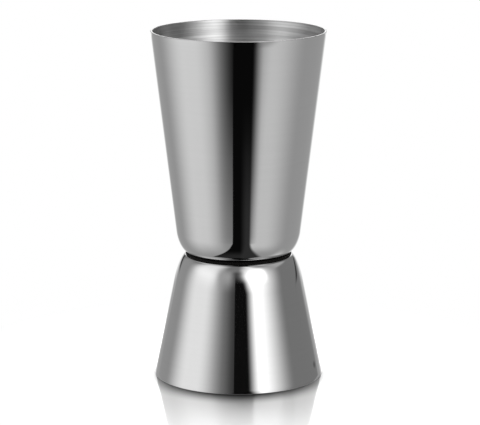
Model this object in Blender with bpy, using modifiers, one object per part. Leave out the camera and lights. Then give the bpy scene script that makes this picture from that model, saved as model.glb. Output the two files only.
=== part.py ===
"""Double-ended bar jigger: two deep-drawn stainless steel cups, brazed together base to base.

The small cup stands mouth down on z = 0 and the large cup opens upwards above it. Both are turned
shapes on the Z axis. Metres, +Z up, origin on the axis in the plane that the small cup stands on.
"""

import math

import bmesh
import bpy
from mathutils import Vector

# Driving dimensions, in metres. A base radius is where the straight wall would meet the base's plane.
# A corner eases from the wall into the base along a quarter of an ellipse, which reaches further up
# the wall than it reaches in along the base.
TOTAL_HEIGHT = 0.0845
WALL = 0.0005

LARGE_MOUTH_RADIUS = 0.0211
LARGE_BASE_RADIUS = 0.0145
LARGE_CORNER_UP = 0.0052
LARGE_CORNER_IN = 0.0025

SMALL_HEIGHT = 0.02985
SMALL_MOUTH_RADIUS = 0.0205
SMALL_BASE_RADIUS = 0.0144
SMALL_CORNER_UP = 0.0065
SMALL_CORNER_IN = 0.0016

RIM_EDGE = 0.00012  # both edges of each cut rim are polished round

BRAZE_THICKNESS = 0.0001  # the thin disc of filler metal between the two bases
BRAZE_RADIUS = 0.0124
BRAZE_CLEARANCE = 0.00025  # kept between the disc and each base, so that the solids stay apart

# How finely the round shapes are divided
TURN_STEPS = 72
CORNER_STEPS = 7
RIM_STEPS = 2

BASE_SPACING = BRAZE_THICKNESS + 2 * BRAZE_CLEARANCE
LARGE_BASE_Z = SMALL_HEIGHT + BASE_SPACING
LARGE_HEIGHT = TOTAL_HEIGHT - LARGE_BASE_Z


def clear_scene():
    for obj in list(bpy.data.objects):
        bpy.data.objects.remove(obj)


def steel(name, colour, roughness):
    material = bpy.data.materials.new(name)
    material.use_nodes = True
    shader = material.node_tree.nodes["Principled BSDF"]
    shader.inputs["Base Color"].default_value = (*colour, 1.0)
    shader.inputs["Metallic"].default_value = 1.0
    shader.inputs["Roughness"].default_value = roughness
    return material


def eased(before, corner, after, reach_before, reach_after, steps):
    """The points of a quarter of an ellipse that eases the corner between two straight runs."""
    towards_before = (before - corner).normalized() * reach_before
    towards_after = (after - corner).normalized() * reach_after
    points = []
    for step in range(steps + 1):
        turn = math.pi / 2 * step / steps
        points.append(
            corner + towards_before * (1 - math.sin(turn)) + towards_after * (1 - math.cos(turn))
        )
    return points


def cup_profile(height, mouth_radius, base_radius, corner_up, corner_in):
    """Half of the cup's section, from the inside of the base, over the rim, to its outside."""
    lean = math.atan2(mouth_radius - base_radius, height)
    wall_across = WALL / math.cos(lean)
    inner_base_radius = base_radius + WALL * math.tan(lean) - wall_across
    inside_centre = Vector((0.0, WALL))
    inside_corner = Vector((inner_base_radius, WALL))
    rim_inside = Vector((mouth_radius - wall_across, height))
    rim_outside = Vector((mouth_radius, height))
    outside_corner = Vector((base_radius, 0.0))
    outside_centre = Vector((0.0, 0.0))

    points = [inside_centre]
    points += eased(
        inside_centre, inside_corner, rim_inside, corner_in - WALL, corner_up - WALL, CORNER_STEPS
    )
    points += eased(inside_corner, rim_inside, rim_outside, RIM_EDGE, RIM_EDGE, RIM_STEPS)
    points += eased(rim_inside, rim_outside, outside_corner, RIM_EDGE, RIM_EDGE, RIM_STEPS)
    points += eased(rim_outside, outside_corner, outside_centre, corner_up, corner_in, CORNER_STEPS)
    points.append(outside_centre)
    return points


def make_cup(name, collection, material, **sizes):
    """A cup with its base at its own origin and its mouth upwards, as a profile with a Screw."""
    points = cup_profile(**sizes)
    mesh = bpy.data.meshes.new(name)
    edges = [(i, i + 1) for i in range(len(points) - 1)]
    mesh.from_pydata([(p.x, 0.0, p.y) for p in points], edges, [])
    cup = bpy.data.objects.new(name, mesh)
    collection.objects.link(cup)
    mesh.materials.append(material)
    turn = cup.modifiers.new("Turn", "SCREW")
    turn.axis = "Z"
    turn.steps = TURN_STEPS
    turn.render_steps = TURN_STEPS
    turn.use_merge_vertices = True
    turn.merge_threshold = 1e-6
    turn.use_smooth_shade = True
    return cup


def make_braze_disc(collection, material):
    """The layer of filler metal that joins the flats of the two bases."""
    mesh = bpy.data.meshes.new("braze_disc")
    shape = bmesh.new()
    bmesh.ops.create_cone(
        shape,
        cap_ends=True,
        segments=TURN_STEPS,
        radius1=BRAZE_RADIUS,
        radius2=BRAZE_RADIUS,
        depth=BRAZE_THICKNESS,
    )
    shape.to_mesh(mesh)
    shape.free()
    mesh.materials.append(material)
    disc = bpy.data.objects.new("braze_disc", mesh)
    disc.location.z = SMALL_HEIGHT + BASE_SPACING / 2
    collection.objects.link(disc)


def main():
    clear_scene()
    collection = bpy.data.collections.new("bar_jigger")
    bpy.context.scene.collection.children.link(collection)

    large_cup = make_cup(
        "large_cup",
        collection,
        steel("large_cup_steel", (0.62, 0.62, 0.62), 0.12),
        height=LARGE_HEIGHT,
        mouth_radius=LARGE_MOUTH_RADIUS,
        base_radius=LARGE_BASE_RADIUS,
        corner_up=LARGE_CORNER_UP,
        corner_in=LARGE_CORNER_IN,
    )
    large_cup.location.z = LARGE_BASE_Z

    small_cup = make_cup(
        "small_cup",
        collection,
        steel("small_cup_steel", (0.62, 0.62, 0.62), 0.10),
        height=SMALL_HEIGHT,
        mouth_radius=SMALL_MOUTH_RADIUS,
        base_radius=SMALL_BASE_RADIUS,
        corner_up=SMALL_CORNER_UP,
        corner_in=SMALL_CORNER_IN,
    )
    small_cup.location.z = SMALL_HEIGHT
    small_cup.rotation_euler.x = math.pi

    make_braze_disc(collection, steel("braze_filler", (0.45, 0.44, 0.42), 0.45))


main()
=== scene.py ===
"""The looks of the double-ended bar jigger: polished cups, brushed insides, a glossy white table."""

import math

import bmesh
import bpy
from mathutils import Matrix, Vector


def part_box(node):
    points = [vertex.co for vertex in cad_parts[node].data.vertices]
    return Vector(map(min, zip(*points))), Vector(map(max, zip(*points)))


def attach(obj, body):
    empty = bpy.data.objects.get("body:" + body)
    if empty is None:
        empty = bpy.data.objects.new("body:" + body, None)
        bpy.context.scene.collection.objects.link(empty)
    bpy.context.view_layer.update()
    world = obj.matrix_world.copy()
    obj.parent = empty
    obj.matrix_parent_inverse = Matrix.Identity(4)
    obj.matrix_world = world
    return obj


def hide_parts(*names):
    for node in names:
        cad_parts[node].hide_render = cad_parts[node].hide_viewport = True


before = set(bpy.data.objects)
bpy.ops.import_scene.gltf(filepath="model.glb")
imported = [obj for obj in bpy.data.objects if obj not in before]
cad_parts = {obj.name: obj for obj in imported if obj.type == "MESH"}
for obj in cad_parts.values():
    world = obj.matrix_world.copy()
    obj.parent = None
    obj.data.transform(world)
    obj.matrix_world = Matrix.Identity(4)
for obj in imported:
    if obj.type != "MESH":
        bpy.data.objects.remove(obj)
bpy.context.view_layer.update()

# The cups' section, as part.py has it, in metres. Heights and places come from the frame.
WALL = 0.0005
RIM_EDGE = 0.00012
LARGE_CUP = dict(mouth_radius=0.0211, base_radius=0.0145, corner_up=0.0052, corner_in=0.0025)
SMALL_CUP = dict(mouth_radius=0.0205, base_radius=0.0144, corner_up=0.0065, corner_in=0.0016)

# The braze's visible bead, which fills the crevice out to where the corners begin. It is coloured
# near-black as painted shade for the dark crevice.
BEAD_RADIUS = 0.0129
BEAD_HOLLOW = 0.00015  # how much its edge is drawn in between the cups
BEAD_GAP = 0.00001  # kept to each cup

# How finely the visible meshes are divided
TURN_STEPS = 256
CORNER_STEPS = 28
RIM_STEPS = 6
WALL_STEPS = 32
BASE_STEPS = 10
BEAD_STEPS = 8
ON_AXIS = 1e-9  # a point nearer to the axis than this lies on it

# Polished steel, on the walls and on the cut rims. Roughness is (lowest, highest).
MIRROR = dict(lightness=0.61, roughness=(0.025, 0.055))
SATIN = dict(lightness=0.43, roughness=(0.26, 0.34))
POLISH_CONTRAST = 0.01  # how much a polishing streak lightens or darkens the steel
SHEET_WAVE = 0.00008  # how uneven the drawn sheet is, in metres

# A small dull mark low on the right of the small cup, in that cup's own coordinates
MARK = (0.0184, 0.0071, 0.0262)
MARK_FADES = (0.0002, 0.0012)  # metres from its middle
MARK_LIGHTNESS = 0.30

# Brushed steel, from its darkest streaks to its lightest. Further down in the cup its colour is
# lighter, as painted light.
BRUSHED_LIGHTNESS = (0.44, 0.80)
BRUSHED_ROUGHNESS = (0.29, 0.34)
DEPTH_PAINTED_LIGHT = (0.84, 1.14)
DEPTH_HEIGHTS = (0.0545, 0.0495)  # above the cup's base, in metres

# The bead's near-black colours, varied a little at random: painted shade in the crevice between the
# cups
CREVICE_SHADE_LIGHTER = (0.010, 0.009, 0.008, 1.0)
CREVICE_SHADE_DARKER = (0.004, 0.004, 0.004, 1.0)

BLACK = (0.0, 0.0, 0.0, 1.0)
WHITE = (1.0, 1.0, 1.0, 1.0)

# The table, in metres from the jigger's axis. Its contact shade is painted shade, dark in its colour
# and its mirror, and lies a little before the foot because the light comes from behind. Further out
# the table fades into the white room.
TABLE_REACH = 6.0  # half of its side
TABLE_COLOUR = (0.80, 0.80, 0.80, 1.0)
TABLE_GLOSS = 0.42  # the share of it that mirrors
TABLE_ROUGHNESS = 0.10
TABLE_FADES = (0.022, 0.075)
SHADE_MIDDLE = (0.0, -0.003, 0.0)
SHADE_FADES = (0.0158, 0.0258)

# The camera stands on the -Y side and looks along +Y and down
CAMERA_DISTANCE = 0.5431
CAMERA_HEIGHT = 0.1550
CAMERA_PITCH_DEG = 11.96
SENSOR_WIDTH_MM = 36.0
LENS_MM = 171.3
SHIFT_X = 0.00305

# The studio that the steel mirrors is built from soft-edged panels, each laid over the ones before.
# Azimuth 0 is the side the camera stands on, 90 is to the camera's right, 180 is behind the jigger.
# An edge is (where the panel is half there, how far its soft edge reaches to either side), in
# degrees of azimuth for left and right and of elevation for low and high. A third number is a
# lean: how far the edge moves to the right for each degree of elevation.
ROOM_LIGHT = 0.26
ROOM_PANELS = (
    dict(name="wall, left", light=0.40, left=(-147, 8), right=(-80, 10), high=(34, 14)),
    dict(name="softbox, left", light=1.20, left=(-99, 20), right=(-41, 20), high=(72, 25)),
    dict(name="its bright upper half", light=1.45, left=(-90, 18), right=(-48, 16), low=(16, 10),
         high=(36, 14)),
    dict(name="ceiling, left", light=0.50, left=(-40, 10), right=(8, 8), low=(17, 12),
         high=(40, 12)),
    dict(name="softbox, right", light=2.30, left=(8, 10), right=(49, 36, 0.4), high=(41, 26)),
    dict(name="its bright middle", light=3.60, left=(24, 9), right=(52, 12), low=(20, 6),
         high=(44, 10)),
    dict(name="its dim top", light=1.60, left=(20, 22), right=(72, 18, -0.5), low=(38, 12),
         high=(80, 20)),
    dict(name="ceiling, right", light=0.55, left=(78, 20), right=(130, 15), low=(31, 4),
         high=(60, 12)),
    dict(name="window, behind", light=1.10, left=(163, 8), right=(194, 10), high=(30, 10)),
    dict(name="glow under it", light=1.00, left=(152, 14), right=(206, 14), high=(-2, 4)),
    dict(name="door, right", light=0.02, left=(128, 5, 3), right=(139, 5, 3), low=(-1.5, 1.5),
         high=(8, 3)),
    dict(name="door, left", light=0.04, left=(-156, 5, -1), right=(-145, 5, -1), low=(-2, 1.5),
         high=(18, 6)),
    dict(name="flag's tip", light=0.10, left=(-13, 9), right=(6, 11), low=(8, 8), high=(42, 7)),
    dict(name="shade beside the flag", light=0.05, left=(-17, 13), right=(10, 5), high=(15, 10)),
    dict(name="flag", light=0.006, left=(-6.4, 0.4), right=(26.5, 10.5, -0.5), high=(26, 7)),
)
# A bright strip behind the jigger, only as high as the table mirrors it
BACKDROP = dict(name="backdrop", light=3.0, left=(170, 4), right=(190, 4), low=(11.5, 1), high=(21, 2))

# The steel sees the table below these elevations and the room above them
HORIZON = (-9.2, -8.4)
TABLE_LIGHT = 0.44
TABLE_PANELS = (
    dict(name="softbox, left", light=1.0, left=(-105, 26), right=(-40, 24), low=(-37, 26)),
    dict(name="softbox, right", light=0.80, left=(73, 12, 1.8), right=(76, 28), low=(-44, 14)),
    dict(name="window, behind", light=1.00, left=(161, 10), right=(194, 12), low=(-38, 12)),
    dict(name="lamp, behind right", light=0.80, left=(112, 16), right=(140, 18), high=(-42, 8)),
    dict(name="shade before the flag", light=0.36, left=(-22, 17), right=(14, 12)),
    dict(name="shade beside the flag", light=0.01, left=(-24, 20), right=(27, 9), low=(-25.5, 3.2)),
    dict(name="flag", light=0.002, left=(-6.4, 0.4), right=(22, 6), low=(-26, 8)),
)

# The strip of the table that mirrors the flag. A place on the table is counted in heights of the
# steel above it, so that a straight edge is start + slope * (how far it is towards the camera).
STRIP_LEFT_START = -0.664
STRIP_LEFT_SLOPE = 0.141
STRIP_LEFT_NEAREST = 1.95  # nearer to the foot, the left edge runs straight towards the camera
STRIP_RIGHT_START = 0.2875
STRIP_RIGHT_SLOPE = 0.24
STRIP_LEFT_SOFT = (-0.02, 0.03)
STRIP_RIGHT_SOFT = (-0.08, 0.08)
STRIP_BEGINS = (-0.3, 0.1)
FLARE_ENDS = 1.2  # from here to the foot, each edge moves to the right by its flare
FLARE_LEFT = -0.14
FLARE_RIGHT = 0.15
SHALLOWEST = 0.05  # the least downward slope that is counted, short of the horizon
STRIP_LIGHT = 0.004
STEEP_LIGHT = 0.030  # looking steeply down, over these elevations
STEEP = (-45.0, -70.0)
GLOW_LIGHT = 0.040  # right of these azimuths and below these elevations
GLOW_RIGHT_OF = (2.0, 16.0)
GLOW_BELOW = (-23.0, -26.5)

# A second mirroring, as of a wall in the table, looks this far down and left of where it should in
# the room, and sees nothing brighter than this. So a reflection in the table repeats the wall's
# pattern. It holds only this far round from the front and up to this elevation.
AGAIN_DOWN = 28.0
AGAIN_LEFT = 7.0
AGAIN_BRIGHTEST = 1.1
AGAIN_ROUND = 100.0
AGAIN_HIGHEST = 42.0

# The light that falls on the table from in front and from behind, and how far round the one turns
# into the other. What reaches the table by way of the steel is a dim even light.
LIT_FROM_FRONT = 0.12
LIT_FROM_BEHIND = 10.8
BEHIND = (120.0, 150.0)
THROWN_BACK_LIGHT = 0.05


# ---------------------------------------------------------------- nodes

class Nodes:
    """Builds a shader tree. Each method returns the output that it made, but add returns a node."""

    def __init__(self, tree):
        self.tree = tree
        tree.nodes.clear()

    def add(self, kind, inputs=None, **settings):
        """A new node, with its inputs set or linked."""
        node = self.tree.nodes.new(kind)
        for name, value in settings.items():
            setattr(node, name, value)
        for key, value in (inputs or {}).items():
            if isinstance(value, bpy.types.NodeSocket):
                self.tree.links.new(value, node.inputs[key])
            else:
                node.inputs[key].default_value = value
        return node

    def place(self):
        """Where the shaded point is, in the object's own coordinates."""
        return self.add("ShaderNodeTexCoord").outputs["Object"]

    def distance(self, a, b):
        node = self.add("ShaderNodeVectorMath", {0: a, 1: b}, operation="DISTANCE")
        return node.outputs["Value"]

    def math(self, operation, *values):
        node = self.add("ShaderNodeMath", dict(enumerate(values)), operation=operation)
        return node.outputs[0]

    def smooth(self, value, low, high):
        """0 at low, 1 at high, and a smooth step between them."""
        node = self.add(
            "ShaderNodeMapRange",
            {"Value": value, "From Min": low, "From Max": high},
            interpolation_type="SMOOTHSTEP",
        )
        return node.outputs["Result"]

    def blend(self, factor, a, b):
        """The number a where the factor is 0 and b where it is 1."""
        node = self.add("ShaderNodeMix", {0: factor, 2: a, 3: b}, data_type="FLOAT")
        return node.outputs[0]

    def mix(self, factor, a, b):
        """The colour a where the factor is 0 and b where it is 1."""
        node = self.add("ShaderNodeMix", {0: factor, 6: a, 7: b}, data_type="RGBA")
        return node.outputs[2]

    def noise(self, vector, scale, detail):
        node = self.add("ShaderNodeTexNoise", {"Vector": vector, "Scale": scale, "Detail": detail})
        return node.outputs[0]


# ---------------------------------------------------------------- studio

def make_camera():
    data = bpy.data.cameras.new("camera")
    data.sensor_width = SENSOR_WIDTH_MM
    data.lens = LENS_MM
    data.shift_x = SHIFT_X
    data.clip_start = 0.01
    data.clip_end = 50.0
    camera = bpy.data.objects.new("camera", data)
    camera.location = (0.0, -CAMERA_DISTANCE, CAMERA_HEIGHT)
    camera.rotation_euler = (math.radians(90 - CAMERA_PITCH_DEG), 0.0, 0.0)
    bpy.context.scene.collection.objects.link(camera)
    bpy.context.scene.camera = camera


def past_edge(n, azimuth, elevation, middle, edge, side):
    """1 inside a panel's left edge (side 1) or right edge (side -1), and 0 outside it."""
    place, soft, lean = edge if len(edge) == 3 else (*edge, 0.0)
    from_middle = n.math("WRAP", n.math("SUBTRACT", azimuth, middle), 180.0, -180.0)
    if lean:
        from_middle = n.math("SUBTRACT", from_middle, n.math("MULTIPLY", elevation, lean))
    place -= middle
    return n.smooth(from_middle, place - side * soft, place + side * soft)


def lay_panel(n, light, azimuth, elevation, panel):
    """The light with one more panel laid over it."""
    middle = (panel["left"][0] + panel["right"][0]) / 2
    covers = [
        past_edge(n, azimuth, elevation, middle, panel["left"], 1),
        past_edge(n, azimuth, elevation, middle, panel["right"], -1),
    ]
    if "low" in panel:
        low, soft = panel["low"]
        covers.append(n.smooth(elevation, low - soft, low + soft))
    if "high" in panel:
        high, soft = panel["high"]
        covers.append(n.smooth(elevation, high + soft, high - soft))
    cover = covers[0]
    for other in covers[1:]:
        cover = n.math("MULTIPLY", cover, other)
    laid = n.blend(cover, light, panel["light"])
    laid.node.label = panel["name"]
    return laid


def light_of_room(n, azimuth, elevation, aside, depth):
    """What the steel sees above the horizon. depth counts the mirrorings so far, 1 for the first."""
    again = n.math("GREATER_THAN", depth, 1.5)
    again = n.math("MULTIPLY", again, n.math("LESS_THAN", aside, AGAIN_ROUND))
    again = n.math("MULTIPLY", again, n.math("LESS_THAN", elevation, AGAIN_HIGHEST))
    seen_azimuth = n.math("MULTIPLY_ADD", again, -AGAIN_LEFT, azimuth)
    seen_elevation = n.math("MULTIPLY_ADD", again, -AGAIN_DOWN, elevation)
    room = ROOM_LIGHT
    for panel in ROOM_PANELS:
        room = lay_panel(n, room, seen_azimuth, seen_elevation, panel)
    room = n.blend(again, room, n.math("MINIMUM", room, AGAIN_BRIGHTEST))
    return lay_panel(n, room, azimuth, elevation, BACKDROP)


def flag_in_table(n, x, y, z):
    """1 where the table mirrors the flag: a strip of the table that runs towards the camera."""
    height = n.math("MAXIMUM", n.math("MULTIPLY", z, -1.0), SHALLOWEST)
    across = n.math("DIVIDE", x, height)
    along = n.math("DIVIDE", n.math("MULTIPLY", y, -1.0), height)
    flare = n.smooth(along, FLARE_ENDS, 0.0)
    along_left = n.math("MAXIMUM", along, STRIP_LEFT_NEAREST)
    left = n.math("MULTIPLY_ADD", along_left, STRIP_LEFT_SLOPE, STRIP_LEFT_START)
    left = n.math("MULTIPLY_ADD", flare, FLARE_LEFT, left)
    right = n.math("MULTIPLY_ADD", along, STRIP_RIGHT_SLOPE, STRIP_RIGHT_START)
    right = n.math("MULTIPLY_ADD", flare, FLARE_RIGHT, right)
    inside_left = n.smooth(n.math("SUBTRACT", across, left), *STRIP_LEFT_SOFT)
    inside_right = n.smooth(n.math("SUBTRACT", right, across), *STRIP_RIGHT_SOFT)
    in_front = n.smooth(along, *STRIP_BEGINS)
    return n.math("MULTIPLY", n.math("MULTIPLY", inside_left, inside_right), in_front)


def light_of_table(n, azimuth, elevation, direction):
    """What the steel sees below the horizon."""
    table = TABLE_LIGHT
    for panel in TABLE_PANELS:
        table = lay_panel(n, table, azimuth, elevation, panel)
    strip = n.blend(n.smooth(elevation, *STEEP), STRIP_LIGHT, STEEP_LIGHT)
    right_of = n.smooth(azimuth, *GLOW_RIGHT_OF)
    glow = n.math("MULTIPLY", right_of, n.smooth(elevation, *GLOW_BELOW))
    strip = n.blend(glow, strip, GLOW_LIGHT)
    return n.blend(flag_in_table(n, *direction), table, strip)


def make_world():
    """A white room for the camera, light from behind for the table, and a studio for the steel."""
    world = bpy.data.worlds.new("studio")
    world.use_nodes = True
    bpy.context.scene.world = world
    n = Nodes(world.node_tree)
    rays = n.add("ShaderNodeLightPath").outputs
    generated = n.add("ShaderNodeTexCoord").outputs["Generated"]
    x, y, z = n.add("ShaderNodeSeparateXYZ", {0: generated}).outputs
    azimuth = n.math("DEGREES", n.math("ARCTAN2", x, n.math("MULTIPLY", y, -1.0)))
    elevation = n.math("DEGREES", n.math("ARCSINE", z))
    aside = n.math("ABSOLUTE", azimuth)

    room = light_of_room(n, azimuth, elevation, aside, rays["Glossy Depth"])
    table = light_of_table(n, azimuth, elevation, (x, y, z))
    studio = n.blend(n.smooth(elevation, *HORIZON), table, room)
    thrown_back = n.math("GREATER_THAN", rays["Diffuse Depth"], 0.5)
    studio = n.blend(thrown_back, studio, THROWN_BACK_LIGHT)

    on_table = n.blend(n.smooth(aside, *BEHIND), LIT_FROM_FRONT, LIT_FROM_BEHIND)
    plain = n.blend(rays["Is Diffuse Ray"], 1.0, on_table)
    unmirrored = n.add("ShaderNodeBackground", {"Color": WHITE, "Strength": plain}).outputs[0]
    mirrored = n.add("ShaderNodeBackground", {"Color": WHITE, "Strength": studio}).outputs[0]
    choice = {0: rays["Is Glossy Ray"], 1: unmirrored, 2: mirrored}
    surface = n.add("ShaderNodeMixShader", choice).outputs[0]
    n.add("ShaderNodeOutputWorld", {"Surface": surface})


def make_table():
    """A glossy white table that the cups stand on. It fades into the white room further away."""
    mesh = bpy.data.meshes.new("table")
    shape = bmesh.new()
    bmesh.ops.create_grid(shape, x_segments=8, y_segments=8, size=TABLE_REACH)
    shape.to_mesh(mesh)
    shape.free()
    mesh.materials.append(table_white())
    table = bpy.data.objects.new("table", mesh)
    bpy.context.scene.collection.objects.link(table)
    table.visible_glossy = False


# ---------------------------------------------------------------- materials

def table_white():
    material = bpy.data.materials.new("table_white")
    material.use_nodes = True
    n = Nodes(material.node_tree)
    at = n.place()
    # Painted contact shade: the table's colour and mirror go dark near the foot
    lit = n.smooth(n.distance(at, SHADE_MIDDLE), *SHADE_FADES)
    colour = n.mix(lit, BLACK, TABLE_COLOUR)
    gloss = n.mix(lit, BLACK, WHITE)
    matt = n.add("ShaderNodeBsdfDiffuse", {"Color": colour}).outputs[0]
    mirror = n.add("ShaderNodeBsdfGlossy", {"Color": gloss, "Roughness": TABLE_ROUGHNESS}).outputs[0]
    near = n.add("ShaderNodeMixShader", {0: TABLE_GLOSS, 1: matt, 2: mirror}).outputs[0]
    white = n.add("ShaderNodeEmission", {"Color": WHITE, "Strength": 1.0}).outputs[0]
    far = n.smooth(n.distance(at, (0.0, 0.0, 0.0)), *TABLE_FADES)
    surface = n.add("ShaderNodeMixShader", {0: far, 1: near, 2: white}).outputs[0]
    n.add("ShaderNodeOutputMaterial", {"Surface": surface})
    return material


def grey(lightness):
    return (lightness, lightness, lightness, 1.0)


def around_axis(n):
    """Where the shaded point is: (the way round the axis in radians, its height in metres)."""
    x, y, z = n.add("ShaderNodeSeparateXYZ", {0: n.place()}).outputs
    return n.math("ARCTAN2", y, x), z


def streaks(n, per_turn, per_metre):
    """Noise drawn out round the axis, as turning and brushing leave it."""
    turn_round, height = around_axis(n)
    flat = n.add("ShaderNodeCombineXYZ", {
        0: n.math("COSINE", turn_round),
        1: n.math("SINE", turn_round),
        2: n.math("MULTIPLY", height, per_metre / per_turn),
    }).outputs[0]
    noise = {"Vector": flat, "Scale": per_turn, "Detail": 1.0, "Roughness": 0.6}
    return n.add("ShaderNodeTexNoise", noise).outputs[0]


def polished_steel(lightness, roughness, mark=None):
    """Polished stainless steel, from sheet that isn't quite even, with a dull mark if one is given."""
    material = bpy.data.materials.new("polished_steel")
    material.use_nodes = True
    n = Nodes(material.node_tree)
    at = n.place()
    cloud = n.noise(at, scale=90.0, detail=3.0)
    sheet = n.noise(at, scale=55.0, detail=1.0)
    wavy = n.add("ShaderNodeBump", {"Strength": 0.25, "Distance": SHEET_WAVE, "Height": sheet})
    polish = streaks(n, per_turn=0.7, per_metre=1500.0)
    colour = n.mix(polish, grey(lightness - POLISH_CONTRAST), grey(lightness + POLISH_CONTRAST))
    if mark:
        clear = n.smooth(n.distance(at, mark), *MARK_FADES)
        colour = n.mix(clear, grey(MARK_LIGHTNESS), colour)
    surface = n.add("ShaderNodeBsdfPrincipled", {
        "Base Color": colour,
        "Metallic": 1.0,
        "Roughness": n.blend(cloud, *roughness),
        "Normal": wavy.outputs[0],
    }).outputs[0]
    n.add("ShaderNodeOutputMaterial", {"Surface": surface})
    return material


def brushed_steel():
    """The inside of a cup: brushed round the axis."""
    material = bpy.data.materials.new("brushed_steel")
    material.use_nodes = True
    n = Nodes(material.node_tree)
    # The noise stays near its middle, so it is stretched to full contrast
    coarse = n.smooth(streaks(n, per_turn=0.45, per_metre=900.0), 0.30, 0.70)
    fine = n.smooth(streaks(n, per_turn=0.9, per_metre=2600.0), 0.25, 0.75)
    grain = n.blend(n.blend(0.5, coarse, fine), *BRUSHED_LIGHTNESS)
    height = around_axis(n)[1]
    # Painted light: the colour grows lighter further down in the cup
    painted_depth_light = n.blend(n.smooth(height, *DEPTH_HEIGHTS), *DEPTH_PAINTED_LIGHT)
    surface = n.add("ShaderNodeBsdfPrincipled", {
        "Base Color": n.math("MULTIPLY", grain, painted_depth_light),
        "Metallic": 1.0,
        "Roughness": n.blend(fine, *BRUSHED_ROUGHNESS),
        "Anisotropic": 0.85,
        "Anisotropic Rotation": 0.25,
        "Tangent": n.add("ShaderNodeTangent", direction_type="RADIAL", axis="Z").outputs[0],
    }).outputs[0]
    n.add("ShaderNodeOutputMaterial", {"Surface": surface})
    return material


def painted_crevice_shade():
    """Filler metal, dull, coloured near-black as painted shade for the crevice between the cups."""
    material = bpy.data.materials.new("braze_filler")
    material.use_nodes = True
    n = Nodes(material.node_tree)
    # Painted shade: two near-black colours, mixed at random
    mottle = n.noise(n.place(), scale=900.0, detail=4.0)
    surface = n.add("ShaderNodeBsdfPrincipled", {
        "Base Color": n.mix(mottle, CREVICE_SHADE_LIGHTER, CREVICE_SHADE_DARKER),
        "Roughness": 0.7,
        "Specular IOR Level": 0.1,
    }).outputs[0]
    n.add("ShaderNodeOutputMaterial", {"Surface": surface})
    return material


# ---------------------------------------------------------------- shapes

def eased(before, corner, after, reach_before, reach_after, steps):
    """The points of a quarter of an ellipse that eases the corner between two straight runs."""
    towards_before = (before - corner).normalized() * reach_before
    towards_after = (after - corner).normalized() * reach_after
    points = []
    for step in range(steps + 1):
        turned = math.pi / 2 * step / steps
        points.append(
            corner + towards_before * (1 - math.sin(turned)) + towards_after * (1 - math.cos(turned))
        )
    return points


def straight(start, end, steps):
    """The points between two ends, without the ends."""
    return [start.lerp(end, step / steps) for step in range(1, steps)]


def cup_profile(height, mouth_radius, base_radius, corner_up, corner_in):
    """(inside, rim, outside): the three runs of half the cup's section, base at 0 and mouth up."""
    lean = math.atan2(mouth_radius - base_radius, height)
    wall_across = WALL / math.cos(lean)
    inside_centre = Vector((0.0, WALL))
    inside_corner = Vector((base_radius + WALL * math.tan(lean) - wall_across, WALL))
    rim_inside = Vector((mouth_radius - wall_across, height))
    rim_outside = Vector((mouth_radius, height))
    outside_corner = Vector((base_radius, 0.0))
    outside_centre = Vector((0.0, 0.0))

    inner_arc = eased(
        inside_centre, inside_corner, rim_inside, corner_in - WALL, corner_up - WALL, CORNER_STEPS
    )
    rim_arc = eased(inside_corner, rim_inside, rim_outside, RIM_EDGE, RIM_EDGE, RIM_STEPS)
    rim_arc += eased(rim_inside, rim_outside, outside_corner, RIM_EDGE, RIM_EDGE, RIM_STEPS)
    outer_arc = eased(
        rim_outside, outside_corner, outside_centre, corner_up, corner_in, CORNER_STEPS
    )

    inside = [inside_centre] + straight(inside_centre, inner_arc[0], BASE_STEPS) + inner_arc
    inside += straight(inner_arc[-1], rim_arc[0], WALL_STEPS) + [rim_arc[0]]
    outside = [rim_arc[-1]] + straight(rim_arc[-1], outer_arc[0], WALL_STEPS) + outer_arc
    outside += straight(outer_arc[-1], outside_centre, BASE_STEPS) + [outside_centre]
    return inside, rim_arc, outside


def ring(shape, radius, height):
    """The vertices of one point turned round Z. On the axis they are all the same one."""
    if radius < ON_AXIS:
        return [shape.verts.new((0.0, 0.0, height))] * TURN_STEPS
    vertices = []
    for step in range(TURN_STEPS):
        angle = math.tau * step / TURN_STEPS
        vertices.append(shape.verts.new((radius * math.cos(angle), radius * math.sin(angle), height)))
    return vertices


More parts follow.
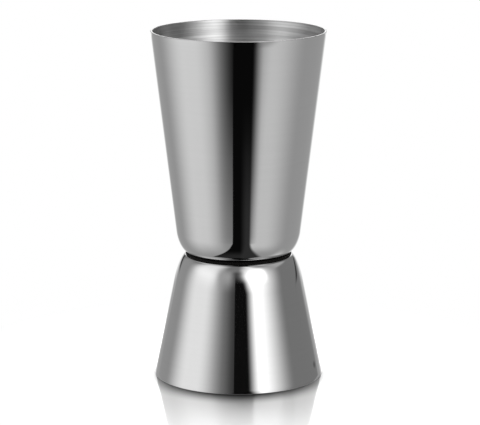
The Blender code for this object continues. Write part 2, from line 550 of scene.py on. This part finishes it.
def turn(name, runs, materials):
    """A closed piece turned round Z. Each run of (radius, height) points has its own material."""
    points = [runs[0][0]]
    slots = []
    for slot, run in enumerate(runs):
        points += run[1:]
        slots += [slot] * (len(run) - 1)
    shape = bmesh.new()
    rings = [ring(shape, *point) for point in points]
    for lower, upper, slot in zip(rings, rings[1:], slots):
        for i in range(TURN_STEPS):
            j = (i + 1) % TURN_STEPS
            corners = dict.fromkeys((lower[i], upper[i], upper[j], lower[j]))
            face = shape.faces.new(corners)
            face.material_index = slot
            face.smooth = True
    bmesh.ops.recalc_face_normals(shape, faces=shape.faces)
    mesh = bpy.data.meshes.new(name)
    shape.to_mesh(mesh)
    shape.free()
    for material in materials:
        mesh.materials.append(material)
    piece = bpy.data.objects.new(name, mesh)
    bpy.context.scene.collection.objects.link(piece)
    return piece


def make_cup(name, node, materials, flipped, **sizes):
    """The fine mesh of one cup, in the place of its CAD node."""
    low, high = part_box(node)
    piece = turn(name, cup_profile(high.z - low.z, **sizes), materials)
    if flipped:
        piece.rotation_euler.x = math.pi
        piece.location.z = high.z
    else:
        piece.location.z = low.z
    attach(piece, "root")
    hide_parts(node)


def make_bead():
    """The braze that fills the crevice between the bases, with a hollow edge, coloured near-black as
    painted shade.
    """
    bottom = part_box("small_cup")[1].z + BEAD_GAP
    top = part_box("large_cup")[0].z - BEAD_GAP
    middle = (bottom + top) / 2
    half = (top - bottom) / 2
    outline = [Vector((0.0, bottom))]
    for step in range(BEAD_STEPS + 1):
        up = 2 * step / BEAD_STEPS - 1
        outline.append(Vector((BEAD_RADIUS - BEAD_HOLLOW * (1 - up * up), middle + half * up)))
    outline.append(Vector((0.0, top)))
    piece = turn("braze_bead_painted_shade", [outline], [painted_crevice_shade()])
    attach(piece, "root")
    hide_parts("braze_disc")


def main():
    bpy.context.scene.view_settings.view_transform = "Standard"
    make_camera()
    make_world()
    make_table()
    brushed = brushed_steel()
    wall = polished_steel(**MIRROR)
    marked_wall = polished_steel(**MIRROR, mark=MARK)
    rim = polished_steel(**SATIN)
    large = [brushed, rim, wall]
    small = [brushed, rim, marked_wall]
    make_cup("large_cup_polished", "large_cup", large, flipped=False, **LARGE_CUP)
    make_cup("small_cup_polished", "small_cup", small, flipped=True, **SMALL_CUP)
    make_bead()


main()
